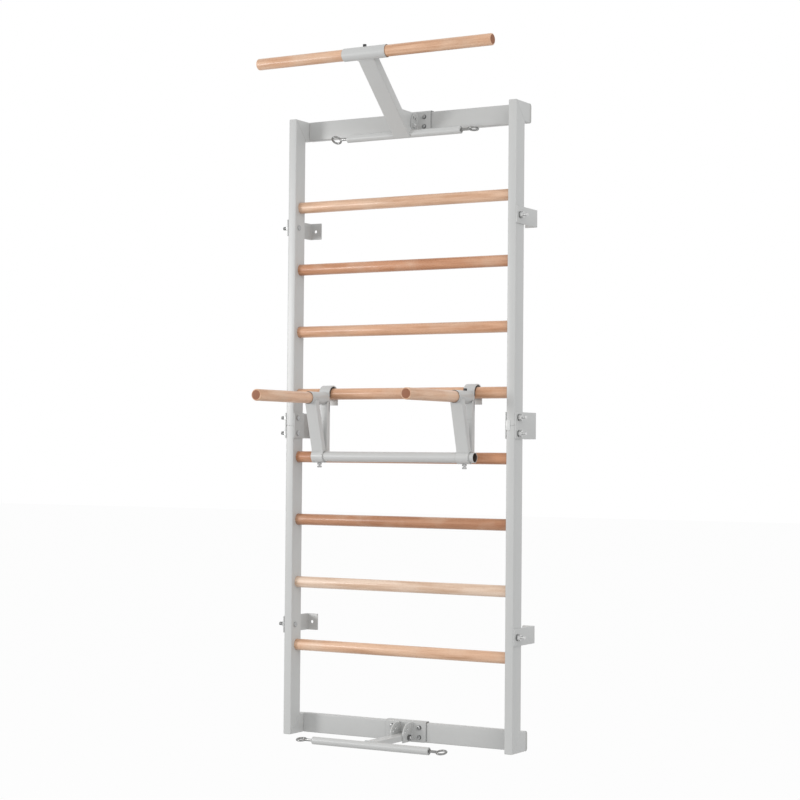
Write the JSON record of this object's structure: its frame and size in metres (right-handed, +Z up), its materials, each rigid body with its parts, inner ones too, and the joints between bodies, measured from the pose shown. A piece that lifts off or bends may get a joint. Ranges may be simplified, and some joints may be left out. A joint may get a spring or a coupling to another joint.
{
  "type": "swedish wall bars",
  "caption": "Wall-mounted steel ladder with beech rungs, a tilting pull-up bar boom, a hook-on dip unit and swivelling eyes for exercise bands",
  "frame": {"origin": "middle of the lower beam's rear face, 44 mm in front of the wall", "axes": "+X to the right as seen from the room, +Y into the wall, +Z up; the front faces -Y"},
  "size_m": [0.934, 0.553, 2.2643],
  "materials": {
    "coated_steel": "light grey powder coat, satin",
    "bracket_steel": "mid grey coated sheet steel",
    "zinc_steel": "bright zinc plate",
    "beech": "varnished beech, fine straight grain",
    "cap_plastic": "moulded grey plastic",
    "black_rubber": "matt black rubber"
  },
  "bodies": {
    "frame": {"upright_upper_left": "coated_steel", "stub_upper_left": "coated_steel", "end_cap_upper_left": "cap_plastic", "upright_lower_left": "coated_steel", "stub_lower_left": "coated_steel", "end_cap_lower_left": "cap_plastic", "splice_left": "zinc_steel", "wall_bracket_upper_left": "bracket_steel", "bracket_bolt_upper_left": "zinc_steel", "wall_bracket_middle_left": "bracket_steel", "seam_plate_left": "bracket_steel", "bracket_bolt_middle_left_1": "zinc_steel", "bracket_bolt_middle_left_2": "zinc_steel", "wall_bracket_lower_left": "bracket_steel", "bracket_bolt_lower_left": "zinc_steel", "upright_upper_right": "coated_steel", "stub_upper_right": "coated_steel", "end_cap_upper_right": "cap_plastic", "upright_lower_right": "coated_steel", "stub_lower_right": "coated_steel", "end_cap_lower_right": "cap_plastic", "splice_right": "zinc_steel", "wall_bracket_upper_right": "bracket_steel", "bracket_bolt_upper_right": "zinc_steel", "wall_bracket_middle_right": "bracket_steel", "seam_plate_right": "bracket_steel", "bracket_bolt_middle_right_1": "zinc_steel", "bracket_bolt_middle_right_2": "zinc_steel", "wall_bracket_lower_right": "bracket_steel", "bracket_bolt_lower_right": "zinc_steel", "beam_upper": "coated_steel", "saddle_upper": "coated_steel", "pivot_bolt_upper": "zinc_steel", "beam_lower": "coated_steel", "saddle_lower": "coated_steel", "pivot_bolt_lower": "zinc_steel", "rung_1": "beech", "rung_2": "beech", "rung_3": "beech", "rung_4": "beech", "rung_5": "beech", "rung_6": "beech", "rung_7": "beech", "rung_8": "beech"},
    "boom": {"pull_up_boom": "coated_steel", "pull_up_bar": "beech"},
    "lower_arm": {"band_arm": "coated_steel"},
    "dip_unit": {"dip_bracket_left": "coated_steel", "dip_handle_left": "beech", "hook_liner_left": "black_rubber", "lock_screw_left": "zinc_steel", "dip_bracket_right": "coated_steel", "dip_handle_right": "beech", "hook_liner_right": "black_rubber", "lock_screw_right": "zinc_steel", "cross_tube": "coated_steel"},
    "eye_upper_left_body": {"eye_upper_left": "zinc_steel"},
    "eye_upper_right_body": {"eye_upper_right": "zinc_steel"},
    "eye_lower_left_body": {"eye_lower_left": "zinc_steel"},
    "eye_lower_right_body": {"eye_lower_right": "zinc_steel"}
  },
  "joints": [
    {"name": "boom_tilt", "type": "hinge", "parent": "frame", "child": "boom", "pos_m": [0, -0.055, 2.015], "axis": [1, 0, 0], "range_deg": [0, 32.5]},
    {"name": "arm_tilt", "type": "hinge", "parent": "frame", "child": "lower_arm", "pos_m": [0, -0.055, -0.015], "axis": [-1, 0, 0], "range_deg": [0, 65]},
    {"name": "dip_lift", "type": "slide", "parent": "frame", "child": "dip_unit", "axis": [0, 0, 1], "range_m": [0, 0.065]},
    {"name": "eye_upper_left_swivel", "type": "hinge", "parent": "boom", "child": "eye_upper_left_body", "pos_m": [-0.217, -0.0758, 1.9835], "axis": [1, 0, 0], "continuous": true},
    {"name": "eye_upper_right_swivel", "type": "hinge", "parent": "boom", "child": "eye_upper_right_body", "pos_m": [0.217, -0.0758, 1.9835], "axis": [1, 0, 0], "continuous": true},
    {"name": "eye_lower_left_swivel", "type": "hinge", "parent": "lower_arm", "child": "eye_lower_left_body", "pos_m": [-0.217, -0.26, -0.019], "axis": [1, 0, 0], "continuous": true},
    {"name": "eye_lower_right_swivel", "type": "hinge", "parent": "lower_arm", "child": "eye_lower_right_body", "pos_m": [0.217, -0.26, -0.019], "axis": [1, 0, 0], "continuous": true}
  ]
}
